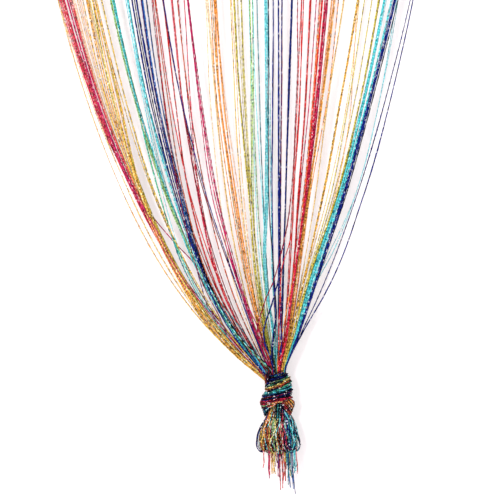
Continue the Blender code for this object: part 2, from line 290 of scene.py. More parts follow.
def addObject(name, data):
    made = bpy.data.objects.new(name, data)
    bpy.context.scene.collection.objects.link(made)
    return made


def pointOutwards(merge=0.0):
    # Turns the active piece's faces outwards, after points closer than merge have become one.
    bpy.ops.object.mode_set(mode="EDIT")
    bpy.ops.mesh.select_all(action="SELECT")
    if merge:
        bpy.ops.mesh.remove_doubles(threshold=merge)
    bpy.ops.mesh.normals_make_consistent(inside=False)
    bpy.ops.object.mode_set(mode="OBJECT")


def dress(piece, material, node):
    piece.data.materials.clear()
    piece.data.materials.append(material)
    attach(piece, "root")
    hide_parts(node)


def yarnOutline():
    # Flat six-sided ring that every strand is swept with.
    outline = bpy.data.curves.new("yarnOutline", "CURVE")
    outline.dimensions = "2D"
    ring = outline.splines.new("POLY")
    sides = strandShape["sides"]
    ring.points.add(sides - 1)
    for k, point in enumerate(ring.points):
        turn = 2.0 * math.pi * k / sides
        point.co = (strandShape["width"] * 0.5 * math.cos(turn),
                    strandShape["thick"] * 0.5 * math.sin(turn), 0.0, 1.0)
    ring.use_cyclic_u = True
    return addObject("yarnOutline", outline)


outline = yarnOutline()


def strandPiece(name, strands, material, node):
    # One piece of many strands, each a dictionary from makeStrand.
    curve = bpy.data.curves.new(name, "CURVE")
    curve.dimensions = "3D"
    curve.bevel_mode = "OBJECT"
    curve.bevel_object = outline
    curve.use_fill_caps = True
    for strand in strands:
        points = strand["points"]
        spline = curve.splines.new("POLY")
        spline.points.add(len(points) - 1)
        flat = np.column_stack([points, np.ones(len(points))]).astype(np.float32)
        spline.points.foreach_set("co", flat.ravel())
        steps = np.linalg.norm(np.diff(points, axis=0), axis=1)
        along = np.concatenate([[0.0], np.cumsum(steps)])
        tilt = strand["start"] + along * 2.0 * math.pi / strand["turn"]
        spline.points.foreach_set("tilt", tilt.astype(np.float32))
        spline.points.foreach_set("radius", np.broadcast_to(strand["wide"], len(points)).astype(np.float32))
        strand["rows"] = np.column_stack([along, np.full(len(along), strand["seed"]), strand["toneAndShade"]])
    piece = addObject(name, curve)
    clearSelection()
    piece.select_set(True)
    bpy.context.view_layer.objects.active = piece
    bpy.ops.object.convert(target="MESH")
    piece = bpy.context.object
    sides = strandShape["sides"]
    # the end caps come first, from the last strand to the first
    values = [np.tile(strand["rows"][end], (sides, 1)) for strand in reversed(strands) for end in (-1, 0)]
    values += [np.repeat(strand["rows"], sides, axis=0) for strand in strands]
    values = np.concatenate(values)
    assert len(values) == len(piece.data.vertices), "strand ends are not where they were"
    marks = piece.data.attributes.new("strand", "FLOAT_VECTOR", "POINT")
    marks.data.foreach_set("vector", values.astype(np.float32).ravel())
    pointOutwards(strandShape["merge"])
    bpy.ops.object.shade_smooth()
    dress(piece, material, node)


def makeStrand(points, chance, wide=1.0, shadow=0.0):
    # Points in metres. The shadow, 0 to 1 for all or for each point, is painted shade: how far the yarn
    # is sunk among its neighbours, taken off its tone.
    return {
        "points": points,
        "turn": chance.uniform(*strandShape["twist"]) * chance.choice((-1.0, 1.0)),
        "start": chance.uniform(0.0, 2.0 * math.pi),
        "seed": chance.random(),
        "toneAndShade": chance.random() - strandShape["shade"] * np.broadcast_to(shadow, len(points)),
        "wide": wide * chance.uniform(*strandShape["widths"]),
    }


def easeThrough(knots, values, spots):
    # Smooth curve through the values that the knots carry.
    knots = np.asarray(knots, dtype=float)
    values = np.asarray(values, dtype=float)
    slopes = np.gradient(values, knots)
    spots = np.clip(spots, knots[0], knots[-1])
    left = np.clip(np.searchsorted(knots, spots, side="right") - 1, 0, len(knots) - 2)
    gap = knots[left + 1] - knots[left]
    share = (spots - knots[left]) / gap
    return ((1.0 + 2.0 * share) * (1.0 - share) ** 2 * values[left]
            + share * (1.0 - share) ** 2 * gap * slopes[left]
            + share ** 2 * (3.0 - 2.0 * share) * values[left + 1]
            + share ** 2 * (share - 1.0) * gap * slopes[left + 1])


def smoothPath(points, steps):
    # Smooth path through the given points.
    points = np.asarray(points, dtype=float)
    gaps = np.linalg.norm(np.diff(points, axis=0), axis=1)
    knots = np.concatenate([[0.0], np.cumsum(gaps)])
    spots = np.linspace(0.0, knots[-1], steps)
    return np.column_stack([easeThrough(knots, points[:, k], spots) for k in range(3)])


# The hanging strings
# colour, count, spread, layer (less is nearer the front), then the sideways place at heights
# 376, 276, 176 and 76 over the knot, and for some at 30, or at 30 and 8
stringRows = (
    ("paleGold", 1, 0, 0, -219.2, -219.8, -220, -221.5, -223.5),
    ("peach", 1, 0, -1, -218.6, -219.2, -219.2, -220, -221.5),
    ("paleGold", 1, 0, 4, -214, -213.2, -212.4, -214.5, -218),
    ("pinkRed", 2, 2, 2, -217, -213.2, -205.8, -199.6),
    ("salmon", 2, 2.2, 3, -215.2, -211.6, -204.8, -198.8),
    ("pinkRed", 2, 2, 1, -213.4, -210.4, -203.6, -197.8),
    ("magenta", 2, 1.2, 0, -209.6, -208.4, -203, -197.2),
    ("salmon", 1, 0, 2, -206.6, -206, -201.4, -196.4),
    ("pinkRed", 1, 0, 1, -205.2, -204.8, -200.4, -195.6),
    ("peach", 2, 2.4, -1, -203, -203, -200.5, -205.5, -218),
    ("peach", 2, 3, -3, -197, -198, -197, -202.5, -212),
    ("paleGold", 1, 0, 2, -200, -200.4, -198.4, -204, -210),
    ("gold", 1, 0, -5, -193.6, -198, -200, -209.5, -222.5),
    ("amber", 1, 0, -5, -190.4, -195, -197.6, -208.3, -221),
    ("paleGold", 1, 0, -4, -189.6, -193.6, -198, -204.5, -214),
    ("paleGold", 2, 2, 1, -188.4, -190.6, -197, -201, -206),
    ("paleGold", 1, 0, -8, -186.8, -189.6, -197, -199.5, -204),
    ("paleOlive", 1, 0, -8, -186.4, -189.2, -197.2, -199.5),
    ("olive", 2, 0.9, -3, -184.2, -190.6, -193.4, -194),
    ("peach", 1, 0, 1, -182.2, -185.4, -196, -196),
    ("amber", 1, 0, -8, -183.4, -187.5, -196, -202.5, -211),
    ("olive", 1, 0, -6, -181.2, -183.6, -194.9, -195.9),
    ("amber", 1, 0, -6, -179.9, -182.6, -194.1, -195.1),
    ("olive", 1, 0, 0, -175, -176.6, -179, -180.5),
    ("paleOlive", 1, 0, 1, -175.6, -177, -180, -179.5),
    ("gold", 1, 0, -4, -180.2, -180.4, -180, -176.5),
    ("lime", 1, 0, 1, -165.8, -166.6, -165, -160),
    ("turquoise", 1, 0, -1, -164.4, -164.8, -161.5, -159),
    ("turquoise", 2, 1.2, -4, -162.4, -165.2, -173, -189),
    ("sage", 2, 1.6, -3, -163.2, -163.4, -163, -158.5),
    ("paleTurquoise", 2, 3.4, 0, -150.4, -155.6, -161, -165),
    ("turquoise", 1, 0, -9, -149.4, -152.6, -153.6, -162),
    ("paleTurquoise", 2, 1.8, -8, -148.6, -152.4, -153.4, -161),
    ("teal", 1, 0, -8, -148.2, -151.2, -151, -158.5),
    ("navy", 2, 0.6, -2, -144.8, -148.4, -151, -156.5),
    ("navy", 1, 0, 1, -140.2, -143.6, -148.4, -154),
    ("greyNavy", 1, 0, 0, -135.9, -141.2, -146.4, -152.5),
    ("blue", 1, 0, -3, -134, -139.4, -144.6, -149),
    ("navy", 1, 0, -1, -135.2, -140.4, -143, -151),
    ("night", 1, 0, -2, -130.6, -136.2, -141.4, -153.5),
    ("red", 1, 0, 3, -124.2, -132.4, -143, -144),
    ("red", 1, 0, -2, -121, -125.7, -130, -132),
    ("red", 2, 1, 1, -113.6, -120.2, -132, -142),
    ("navy", 1, 0, -7, -113.4, -112.4, -107, -95.5),
    ("maroon", 1, 0, -6, -114.2, -113.4, -109, -97.5),
    ("pinkRed", 2, 1.9, 0, -104.9, -112.1, -119.4, -134),
    ("salmon", 1, 0, -3, -104.6, -111.6, -116.5, -131),
    ("magenta", 1, 0, 2, -98.8, -105.6, -117, -130),
    ("crimson", 1, 0, -1, -92.8, -102.4, -118.5, -132),
    ("rust", 1, 0, 1, -99.6, -104.4, -108, -112.5),
    ("magenta", 1, 0, -4, -89.4, -92.6, -99, -92),
    ("magenta", 1, 0, -5, -88.8, -91, -95, -89),
    ("magenta", 1, 0, -4, -88.2, -89.4, -90.8, -86),
    ("paleGold", 1, 0, 3, -71.2, -79.4, -89, -103),
    ("paleGold", 2, 2.2, 1, -69.6, -73, -78.5, -84),
    ("orange", 1, 0, -2, -66.6, -71.8, -72.5, -74),
    ("gold", 1, 0, 2, -65, -68.6, -69.5, -71.6),
    ("orange", 2, 1.5, 0, -62.8, -68, -67, -68.5),
    ("orange", 2, 1.4, -1, -61.4, -63.8, -64, -65),
    ("peach", 1, 0, 2, -61, -62, -59.5, -62),
    ("gold", 1, 0, 2, -46.8, -50.2, -56.5, -62),
    ("peach", 1, 0, 3, -45.6, -47.4, -52.5, -58),
    ("olive", 3, 1.6, -3, -42.9, -44.4, -44.6, -50),
    ("paleOlive", 2, 2.6, 4, -39.4, -40.4, -43.5, -54),
    ("olive", 1, 0, -1, -36.4, -38.6, -41.5, -45.5),
    ("paleOlive", 1, 0, 0, -35.4, -37.6, -39.8, -43),
    ("lime", 1, 0, 1, -27, -29.6, -38, -46),
    ("paleTurquoise", 1, 0, 2, -28, -30.2, -34, -40),
    ("sage", 1, 0, 0, -24.6, -28.2, -31.5, -34),
    ("paleTurquoise", 1, 0, 0, -24.2, -25.4, -24.6, -26),
    ("teal", 1, 0, 2, -20.2, -20.9, -23, -25),
    ("turquoise", 1, 0, -2, -12, -13, -17, -27.6, -22),
    ("paleTurquoise", 1, 0, -3, -10.6, -11.6, -16, -26, -14),
    ("paleTurquoise", 2, 2.8, -4, -11.2, -12.4, -16.4, -26.6, -12),
    ("paleTurquoise", 3, 3.6, 1, -11.2, -13, -19, -29.5, -15),
    ("paleTurquoise", 2, 3, 4, -9, -9.6, -9.5, -12, -4),
    ("purple", 1, 0, -1, -3.8, -5.2, -8.7, -12),
    ("navy", 1, 0, -3, 1, 1.2, 0.5, 0),
    ("navy", 1, 0, 2, 4.9, 4.6, 3.5, 2.5),
    ("navy", 3, 1.9, -2, 14.7, 13.4, 12, 10.4),
    ("greyNavy", 2, 1.4, -1, 15.2, 13.6, 12.6, 12),
    ("salmon", 1, 0, 1, 24.5, 24, 23, 24),
    ("red", 1, 0, -1, 26.4, 26.6, 24.8, 26, 24),
    ("red", 2, 1.9, -3, 33.4, 33.8, 32.4, 33, 28),
    ("maroon", 1, 0, -2, 33, 33.4, 33.2, 34, 30),
    ("red", 2, 1.8, -9, 44.8, 43.6, 41.8, 33.4, 28, 2),
    ("magenta", 1, 0, 3, 39.5, 38.4, 34.6, 34),
    ("orange", 1, 0, -8, 43, 42.2, 40.8, 27.5, 5, -14),
    ("red", 1, 0, -8, 42.2, 41.6, 39.4, 29.6, 24, -6),
    ("crimson", 2, 1.4, -10, 47.6, 46, 43.2, 34.8, 30.3, 10),
    ("crimson", 1, 0, -9, 49, 47.4, 44.6, 37, 34, 20),
    ("pinkRed", 1, 0, -1, 51, 49.6, 47, 47.9, 46),
    ("magenta", 1, 0, -1, 50.2, 48.8, 46.2, 48.6, 47),
    ("peach", 2, 2, 3, 55, 52.4, 50, 50),
    ("orange", 1, 0, -6, 56.6, 52.6, 46.8, 40, 38.5),
    ("orange", 2, 2, -5, 57.2, 53.4, 47.6, 42, 42),
    ("amber", 1, 0, -6, 58, 54.4, 48.6, 44, 46),
    ("orange", 1, 0, -5, 61.4, 59.6, 50.5, 46.5),
    ("paleGold", 2, 1.4, 2, 66.8, 61, 59.7, 55.5),
    ("gold", 2, 1.8, -3, 80.4, 75.8, 70.5, 58, 50),
    ("amber", 1, 0, -4, 81.6, 77, 72, 60.5, 54),
    ("paleGold", 1, 0, 1, 82.6, 84.4, 79, 63),
    ("olive", 1, 0, -5, 87, 86.4, 83, 66.5, 60),
    ("olive", 1, 0, 2, 95, 93.6, 88.5, 69.5, 63),
    ("gold", 2, 1.4, 0, 102.4, 100.6, 94.5, 71.5, 64.5),
    ("olive", 2, 1.8, -5, 101.4, 99.6, 92.6, 69.6, 63.5),
    ("turquoise", 1, 0, -3, 106.6, 103.2, 95.4, 74.4, 72.2),
    ("turquoise", 1, 0, -4, 107.4, 104, 96.4, 76.6, 73.4),
    ("turquoise", 1, 0, -3, 108.2, 104.8, 97.4, 78.8, 74.6),
    ("paleTurquoise", 1, 0, -2, 109.4, 105.8, 98.6, 81, 76),
    ("turquoise", 1, 0, -5, 113.8, 108, 99.6, 81.8, 77),
    ("turquoise", 1, 0, -5, 114.6, 109.2, 101, 84.8, 77.9),
    ("navy", 1, 0, -5, 116.8, 110.6, 102.8, 88.2, 85),
    ("navy", 1, 0, -6, 117.6, 111.6, 104.4, 90.2, 86),
    ("navy", 1, 0, -7, 118.4, 112.6, 106, 92.2, 87),
    ("blue", 1, 0, 0, 115.4, 109.8, 101.8, 88, 83),
    ("night", 1, 0, -1, 121, 114.8, 108.2, 94.5, 88.5),
    ("paleTurquoise", 1, 0, 4, 121.5, 124.5, 124, 92),
    ("navy", 2, 0.6, -1, 133.2, 130.5, 126.5, 111.8, 93),
    ("navy", 2, 0.6, 1, 136, 137.4, 137.9, 127.4, 97),
)

# Single strings that stray from the bunches: colour, depth at the knot, then (place, height) from
# the top down.
strays = (
    ("magenta", -8.5, (-89.4, 376), (-91.6, 150), (-90, 86), (-84, 66), (-76, 51)),
    ("magenta", 9, (-214, 376), (-206, 200), (-193, 155), (-187, 144), (-181.5, 135), (-175, 126),
     (-168, 118), (-162, 106), (-160, 60)),
    ("maroon", -6.5, (-114.2, 376), (-113.4, 300), (-113.4, 250), (-117, 200), (-122, 131), (-124.5, 86),
     (-126, 46)),
    ("rust", -8, (-122, 376), (-128, 276), (-139, 176), (-150, 76), (-146, 30)),
    ("turquoise", -7, (-164.2, 376), (-164.4, 276), (-160, 176), (-160, 76), (-140, 24)),
    ("teal", -6, (-164, 376), (-163.8, 276), (-159.4, 176), (-150, 76), (-120, 24)),
    ("amber", -5, (-189, 376), (-192.6, 276), (-196.5, 176), (-205.5, 76), (-208, 24)),
    ("salmon", -6, (-206, 376), (-204, 276), (-200, 176), (-202, 76), (-190, 24)),
    ("paleGold", 2, (-218.6, 376), (-215, 260), (-211, 176), (-211, 136), (-213, 86), (-219, 46)),
    ("paleTurquoise", -9.5, (-151, 376), (-155.4, 276), (-168, 176), (-180, 110), (-184, 76), (-186, 61),
     (-186, 49), (-182, 42), (-172, 16)),
    ("green", -5.5, (-163.6, 376), (-165.2, 260), (-173, 176), (-181, 110), (-185.5, 76), (-188, 61),
     (-189, 49), (-185, 42), (-176, 16)),
    ("magenta", -10.5, (-209, 376), (-207, 276), (-204.5, 190), (-197.5, 148), (-197.5, 116),
     (-196.5, 96), (-191.5, 76), (-188, 61), (-184, 46), (-182, 31), (-178, 16)),
    ("magenta", -3, (-207.5, 376), (-205.5, 276), (-198, 176), (-194, 146), (-195.5, 116), (-194, 96),
     (-189, 76), (-182, 61), (-176, 46), (-168, 16)),
    ("purple", -10, (-135.6, 376), (-141, 276), (-151, 150), (-170, 90), (-184, 66), (-183, 50),
     (-180.5, 31), (-176, 16)),
    ("maroon", -10.5, (-124.6, 376), (-133, 276), (-151, 150), (-166, 91), (-168, 76), (-170, 61),
     (-178, 46), (-179, 31), (-176, 16)),
    ("gold", -9.5, (-174.6, 376), (-176, 260), (-177, 150), (-176, 91), (-175.5, 60), (-175.5, 46),
     (-174, 31), (-170, 16)),
    ("navy", -10.5, (-144.6, 376), (-148.4, 276), (-151, 176), (-158, 91), (-165, 61), (-167, 46),
     (-167, 31), (-163, 16)),
    ("navy", -10.5, (-140.4, 376), (-143.6, 276), (-148.5, 176), (-156, 91), (-163.5, 61), (-165.5, 46),
     (-165.5, 31), (-161.5, 16)),
    ("blue", -7, (-134.2, 376), (-139.6, 276), (-145, 176), (-156.5, 91), (-155, 76), (-151.5, 61),
     (-148, 46), (-146, 16)),
    ("greyNavy", -7.5, (-130.4, 376), (-136, 276), (-141, 176), (-155, 91), (-153.5, 76), (-150, 61),
     (-146.5, 46), (-144.5, 16)),
    ("sage", -9, (-166.2, 376), (-166, 260), (-162, 176), (-158.5, 110), (-157, 76), (-155, 43),
     (-148, 33), (-133, 22), (-112, 12), (-90, 5)),
    ("night", -10, (-142, 376), (-146, 276), (-150.5, 176), (-154.5, 110), (-154, 76), (-152, 43),
     (-143, 32), (-124, 22), (-98, 12), (-72, 5)),
    ("paleTurquoise", -10.5, (-148.4, 376), (-152.4, 276), (-155, 176), (-156, 110), (-155.5, 76),
     (-153.5, 43), (-145.5, 32), (-127, 22), (-103, 12), (-79, 5)),
    ("lime", 3, (-27.4, 376), (-31, 276), (-40, 176), (-48, 76), (-54, 46), (-58, 16)),
    ("peach", 1, (82, 356), (84.5, 326), (87, 296), (90, 271), (92, 226), (82, 60)),
    ("paleTurquoise", 5, (121, 346), (125.5, 246), (125.5, 196), (122, 156), (113, 121), (93, 86)),
)

# Single strings that cross in front near the knot: colour, depth, then (side, height) from the top down.
crossers = (
    ("maroon", -12.5, (20.3, 376), (20.6, 320), (18, 256), (13.9, 186), (10.5, 156), (5.3, 130), (0, 108),
     (-5, 92), (-10.5, 80), (-15.7, 64), (-19.2, 54), (-20, 46), (-16, 34), (-9, 18), (-4, 0)),
    ("crimson", -12, (20.4, 376), (20.8, 320), (18.2, 256), (14.2, 186), (10.9, 156), (5.7, 130),
     (0.4, 108), (-4.6, 92), (-10.1, 80), (-15.3, 64), (-18.6, 54), (-19.2, 46), (-15.2, 34), (-8.4, 18),
     (-3.4, 0)),
    ("red", -10.5, (24.6, 376), (22, 256), (16.6, 190), (12.3, 134), (9, 123), (4.5, 108), (3.6, 95),
     (3, 76), (2, 57), (1.4, 0)),
    ("navy", -11.5, (1.3, 376), (1.6, 260), (1.6, 120), (1, 96), (-1.5, 88), (-3.6, 80), (-7.5, 67),
     (-11.4, 56), (-13.7, 46), (-13.4, 38), (-11, 29), (-7.2, 21), (-3, 0)),
    ("night", -11, (1.5, 376), (1.9, 260), (1.9, 120), (1.4, 96), (-1, 88), (-3.1, 80), (-7, 67),
     (-10.9, 56), (-13.1, 46), (-12.8, 38), (-10.4, 29), (-6.6, 21), (-2.4, 0)),
    ("night", -10, (-8.8, 376), (-8.8, 250), (-7, 150), (-3.6, 105), (-1.6, 76), (-0.6, 61), (-2, 50),
     (-4.2, 31), (-4.4, 21), (-2, 0)),
    ("navy", -9, (-4, 376), (-4.8, 250), (-4.6, 150), (-3.8, 110), (-2.4, 76), (-1.2, 61), (-2.8, 50),
     (-5.2, 31), (-5.4, 21), (-2.6, 0)),
    ("maroon", -9.5, (5, 376), (4.2, 250), (3.4, 150), (3.2, 90), (3.8, 56), (4.8, 40), (4.4, 22),
     (3, 0)),
    ("navy", -9.8, (4.7, 376), (3.8, 250), (2.8, 150), (2.6, 90), (3.2, 56), (4.2, 40), (3.8, 22),
     (2, 0)),
)

fan = {
    "reachLeft": 80.0,         # how soon the outer left and right strings swing out
    "reachRight": 240.0,
    "tableLeft": -220.0,
    "tableRight": 136.0,
    "entryLeft": -12.5,        # strings go into the knot between these two
    "entryRight": 11.0,
    "pull": ((0.0, 15.0, 41.0), (2.3, 2.1, 0.0)),      # near the knot the right strings close up this far
    "entryTilt": 0.325,        # the knot's top rises to the right
    "entryLift": 1.1,
    "liftHeight": 40.0,        # and the strings that go in follow it below this height
    "entryRound": 13.5,        # half width of the round knot's top
    "squeezeHeight": 120.0,    # strings draw into that round below this height
    "diveDepth": -7.0,         # strings in front of this depth dive in under
    "diveHeight": 26.0,        # this height
    "step": 6.5,               # between the points of a string
    "rowHeights": (8.0, 30.0, 76.0, 176.0, 276.0, 376.0),
    "goOn": (120.0, 0.25),     # over the table: this far up, and this share of the last step sideways
    "layerPitch": 1.1,
    "rowPitch": 0.8,           # in depth between the strings of one row, of the layers' pitch
    "fineWide": 0.76,          # width of the pale yarns
    "wander": 0.16,            # how far a string strays from its line,
    "calmHeight": 60.0,        # but not at its ends
    "joinHeight": 60.0,        # a crossing string comes down from its bunch over this height
    "sideWaves": (37.0, 15.5),     # heights for one radian of its two waves sideways
    "depthWaves": (44.0, 13.0),    # and in depth
    "wides": ((0.0, 40.0, 150.0, 400.0), (1.24, 1.14, 1.02, 1.0)),    # width at these heights
    "neckShadow": 0.4,         # painted shade: strings are drawn darker where they crowd into the knot
    "neckHeight": 120.0,
    # Inside the knot: share of the entry's side and what is added to it, share of depth, height.
    "inside": ((0.55, 0.5, 0.6, -24.0), (0.62, 0.4, 0.7, -14.0), (0.8, 0.1, 0.85, -6.0)),
}


def between(spot, left, right):
    # From the value on the table's left side to the one on its right.
    return np.interp(spot, [fan["tableLeft"], fan["tableRight"]], [fan[left], fan[right]])


def swing(height, spot):
    # Share of its sideways travel that a string has made at a height over the knot.
    reach = between(spot, "reachLeft", "reachRight")
    return np.log1p(height / reach) / np.log1p(tableTop / reach)


def stringList():
    # Colour, depth, knots and places of every single string.
    made = []
    onward, share = fan["goOn"]
    for colour, count, spread, layer, *places in stringRows:
        heights = fan["rowHeights"][-len(places):]
        for k in range(count):
            shift = spread * ((k + 0.5) / count - 0.5)
            spots = [spot + shift for spot in reversed(places)]
            end = spots[-1] + share * (spots[-1] - spots[-2])
            made.append({
                "colour": colour,
                "depth": fan["layerPitch"] * (layer + fan["rowPitch"] * (k - (count - 1) / 2.0)),
                "knots": [0.0, *heights, tableTop + onward, fanHeight],
                "places": [spots[0], *spots, end, end],
            })
    for colour, depth, *track in strays:
        spots, heights = zip(*reversed(track))
        made.append({
            "colour": colour,
            "depth": depth,
            "knots": [0.0, *heights, fanHeight],
            "places": [spots[0], *spots, spots[-1]],
        })
    for colour, depth, *track in crossers:
        sides, heights = zip(*reversed(track))
        made.append({
            "colour": colour,
            "depth": depth,
            "knots": [0.0, fanHeight],
            "places": [sides[-1], sides[-1]],
            "entry": sides[0],
            "track": (heights, sides),
        })
    return made


def ramp(heights, top):
    return np.clip(heights / top, 0.0, 1.0)


def waves(heights, lengths, phases):
    return np.sin(heights / lengths[0] + phases[0]) + 0.6 * np.sin(heights / lengths[1] + phases[1])


def stringPath(string, top, phase):
    # Points of a string from inside the knot up to its place at the strip, and the heights they stand for.
    heights = np.arange(0.0, fanHeight + 1.0, fan["step"])
    spots = easeThrough(string["knots"], string["places"], heights)
    entries = between(spots, "entryLeft", "entryRight")
    sides = entries + (spots - entries) * swing(heights, spots)
    entry = string.get("entry", entries[0])
    if "track" in string:
        fanned = np.clip((heights - string["track"][0][-1]) / fan["joinHeight"] + 1.0, 0.0, 1.0)
        sides = sides * fanned + easeThrough(*string["track"], heights) * (1.0 - fanned)
    elif entry > 0.0:
        sides = sides - np.interp(heights, *fan["pull"]) * entry / fan["entryRight"]
    rise = np.clip((heights - tableTop) / (fanHeight - tableTop), 0.0, 1.0)
    sides = sides + (top - sides[-1]) * rise * rise * (3.0 - 2.0 * rise)
    loose = fan["wander"] * ramp(np.minimum(heights, fanHeight - heights), fan["calmHeight"])
    sides = sides + loose * waves(heights, fan["sideWaves"], phase[:2])
    rim = math.sqrt(max(0.1, 1.0 - (entry / fan["entryRound"]) ** 2))
    squeeze = rim + (1.0 - rim) * ramp(heights, fan["squeezeHeight"])
    depths = string["depth"] * (1.0 - heights / fanHeight) * squeeze
    if string["depth"] < fan["diveDepth"]:
        depths = depths * np.interp(heights, [0.0, fan["diveHeight"]], [0.5, 1.0])
    depths = depths + loose * waves(heights, fan["depthWaves"], phase[2:])
    lift = fan["entryLift"] + fan["entryTilt"] * entry
    ups = heights + lift * (1.0 - ramp(heights, fan["liftHeight"]))
    run = [(entry * share + more, depths[0] * deep, height) for share, more, deep, height in fan["inside"]]
    path = np.vstack([run, np.column_stack([sides, depths, ups])[1:]])
    return path, np.concatenate([[0.0, 0.0, 0.0], heights[1:]])


def makeStrings():
    chance = random.Random(41)
    strings = stringList()
    total = len(strings)
    high = np.array([string["places"][-1] for string in strings])
    half = ((headingHigh[0] - headingLow[0]) / 2.0 - curtain["stringInset"]) / unit
    tops = np.empty(total)
    tops[np.argsort(high)] = np.linspace(-half, half, total) - curtain["knotSide"]
    strands = {}
    for string, top in zip(strings, tops):
        path, heights = stringPath(string, top, [chance.uniform(0.0, 6.3) for _ in range(4)])
        # painted shade: darker towards the knot, where the strings crowd
        shadow = fan["neckShadow"] * np.clip(1.0 - path[:, 2] / fan["neckHeight"], 0.0, 1.0) ** 1.5
        path = place(path)
        path[-1, 2] = stringsHigh[2] - curtain["rootShare"] * curtain["stripHeight"]
        wide = fan["fineWide"] if string["colour"] in paleYarns else 1.0
        wide = wide * np.interp(heights, *fan["wides"])
        strands.setdefault(string["colour"], []).append(makeStrand(path, chance, wide, shadow))
    for colour, members in strands.items():
        look = yarnMaterial("yarn_" + colour, colour, "string")
        strandPiece("strings_" + colour, members, look, "strings")
    print("strings", total, "in", len(strands), "colours")
    return [(place((tops[k], 0.0, 0.0))[0], strings[k]["colour"]) for k in np.argsort(tops)]


stringTops = makeStrings()

# The knot
knotStrands = {}
knotChance = random.Random(7)


def addKnotStrand(part, colour, points, wide=1.0, shadow=0.0):
    # points in units, height counted up from the knot's top
    knotStrands.setdefault((part, colour), []).append(makeStrand(place(points), knotChance, wide, shadow))


# Strands wound round the knot, from the top down: colour and drop at the front. The near-black
# 'night' turns are dark yarn that also stands as painted shade in the gaps between the turns.
windings = (
    ("night", -3.6), ("navy", -2.8), ("teal", -1.9), ("night", -1), ("night", -0.1), ("navy", 0.8),
    ("night", 1.7), ("navy", 2.5), ("night", 3.3), ("sage", 4.2), ("green", 5), ("night", 5.9),
    ("paleOlive", 6.8), ("gold", 7.7), ("rust", 8.6), ("night", 9.5), ("rust", 10.3), ("night", 11.1),
    ("green", 12), ("teal", 12.9), ("turquoise", 13.8), ("teal", 14.7), ("blue", 15.6), ("night", 16.5),
    ("navy", 17.3), ("maroon", 18.2), ("night", 19), ("navy", 19.9), ("night", 20.7), ("night", 21.5),
    ("crimson", 22.4), ("maroon", 23.3), ("crimson", 24.2), ("maroon", 25), ("sage", 25.9),
)

# The knot's shape: middle, half width, half depth and tilt at each drop.
knotShape = {
    "drops": (-4.0, 3.0, 10.0, 17.0, 21.0, 28.0),
    "middles": (-0.8, -0.4, 0.8, 0.1, -0.4, -0.4),
    "widths": (8.8, 11.3, 13.0, 15.1, 15.8, 16.2),
    "depths": (8.4, 9.8, 11.2, 12.6, 13.0, 12.2),
    "tilts": (20.0, 22.0, 21.0, 16.0, 11.0, 6.0),
    "grooves": (-1.0, 4.2, 10.0, 15.6, 21.2, 26.5),     # drops between two turns of the rope
    "grooveDeep": 1.3,
    "topRake": -16.0,          # the top turns climb at the front
    "steps": 84,
    "turns": 1.06,             # a little over one turn, the ends tucked in at the back
    "tuck": 3.0,               # this deep
    "innerEvery": 1.7,         # near-black strands, painted shade in the gaps, lie this far apart,
    "innerInset": 1.6,         # this deep under the turns
    "tiltStray": 4.5,
    # A turn's ripples outwards and upwards: height, number in a turn, and how its phase shifts them.
    "outward": ((0.35, 3.0, 1.0), (0.2, 8.0, 2.0)),
    "upward": ((0.6, 2.0, 3.0), (0.25, 5.0, 1.0)),
}


def ripple(kind, turn, phase):
    return sum(high * np.sin(often * turn + shift * phase) for high, often, shift in knotShape[kind])


def wind(colour, drop, inset):
    shape = knotShape
    middle, halfWidth, halfDepth, tilt = [float(easeThrough(shape["drops"], shape[key], drop))
                                          for key in ("middles", "widths", "depths", "tilts")]
    near = min(abs(drop - groove) for groove in shape["grooves"])
    sunk = inset + shape["grooveDeep"] * math.exp(-(near / 1.1) ** 2)
    share = np.linspace(0.0, 1.0, shape["steps"])
    start = knotChance.uniform(0.5, 2.4)
    turn = start + share * shape["turns"] * 2.0 * math.pi
    ends = np.clip(np.minimum(share, 1.0 - share) * 12.0, 0.0, 1.0)
    phase = knotChance.uniform(0.0, 6.3)
    out = ripple("outward", turn, phase) - sunk - shape["tuck"] * (1.0 - ends)
    lean = math.tan(math.radians(tilt + knotChance.uniform(-shape["tiltStray"], shape["tiltStray"])))
    back = math.tan(math.radians(float(np.interp(drop, [-4.0, 4.0], [shape["topRake"], 0.0]))))
    across = (halfWidth + out) * np.cos(turn)
    depth = (halfDepth + out) * np.sin(turn)
    height = across * lean + (depth + halfDepth) * back - drop + ripple("upward", turn, phase)
    # painted shade: darker in the grooves between turns and towards the knot's left and right edges
    shadow = 0.25 * (sunk > 0.6) + 0.25 * (np.abs(across) / halfWidth) ** 4
    addKnotStrand("wrap", colour, np.column_stack([middle + across, depth, height]), 1.0, shadow)


def makeWraps():
    for colour, drop in windings:
        wind(colour, drop, 0.0)
    # near-black strands under the turns: painted shade that fills the gaps between them
    for drop in np.arange(-1.5, 27.0, knotShape["innerEvery"]):
        wind("night", drop, knotShape["innerInset"])


